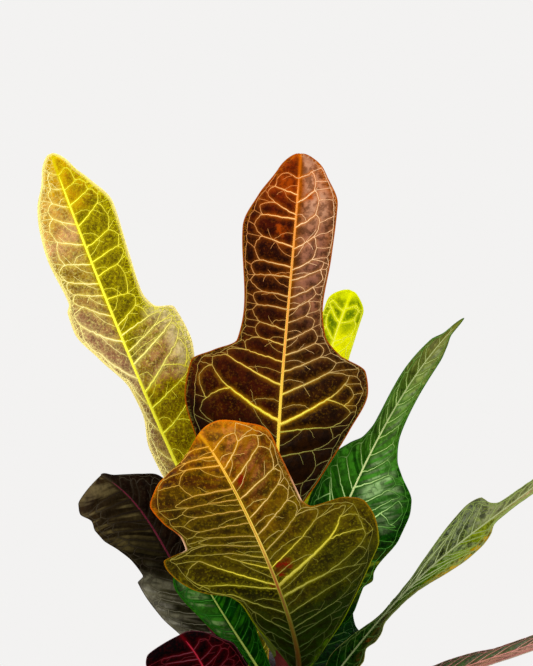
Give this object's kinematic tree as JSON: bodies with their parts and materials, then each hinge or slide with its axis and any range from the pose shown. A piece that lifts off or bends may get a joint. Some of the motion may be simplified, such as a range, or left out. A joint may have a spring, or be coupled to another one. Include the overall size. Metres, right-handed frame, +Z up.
{
  "type": "potted croton",
  "caption": "Potted croton: lobed, thickly veined leaves in yellow, bronze, green and burgundy on one short woody stem, in a plain round tapered pot filled with soil.",
  "frame": {"origin": "centre of the pot's flat underside", "axes": "+Z up along the pot's axis, -Y towards the viewer of the picture, +X to that viewer's right"},
  "size_m": [0.3513, 0.3443, 0.5571],
  "materials": {
    "pot": "matte",
    "soil": "rough, crumbly",
    "stem": "rough bark",
    "leaf_yellow": "satin, waxy",
    "leaf_bronze": "satin, waxy",
    "leaf_olive": "satin, waxy",
    "leaf_green": "satin, waxy",
    "leaf_burgundy": "satin, waxy"
  },
  "bodies": {
    "root": {"pot": "pot", "soil": "soil", "stem": "stem", "leaf_upper_left": "leaf_yellow", "leaf_upper_centre": "leaf_bronze", "leaf_young_back": "leaf_yellow", "leaf_right_pointed": "leaf_green", "leaf_far_right": "leaf_green", "leaf_low_right": "leaf_green", "leaf_front_turned": "leaf_olive", "leaf_left_dark": "leaf_burgundy", "leaf_low_left": "leaf_burgundy", "leaf_left_green": "leaf_green", "leaf_back_centre": "leaf_green", "leaf_back_right": "leaf_bronze", "leaf_back_left": "leaf_olive", "leaf_back_low": "leaf_burgundy", "leaf_lower_01": "leaf_burgundy", "leaf_lower_02": "leaf_green", "leaf_lower_03": "leaf_bronze", "leaf_lower_04": "leaf_green", "leaf_lower_05": "leaf_olive", "leaf_lower_06": "leaf_burgundy", "leaf_lower_07": "leaf_green", "leaf_lower_08": "leaf_bronze", "leaf_lower_09": "leaf_green", "leaf_lower_10": "leaf_olive", "leaf_lower_11": "leaf_burgundy", "leaf_lower_12": "leaf_green", "leaf_lower_13": "leaf_bronze", "leaf_lower_14": "leaf_green", "leaf_lower_15": "leaf_olive", "leaf_lower_16": "leaf_burgundy", "leaf_lower_17": "leaf_green", "leaf_lower_18": "leaf_bronze"}
  },
  "joints": []
}
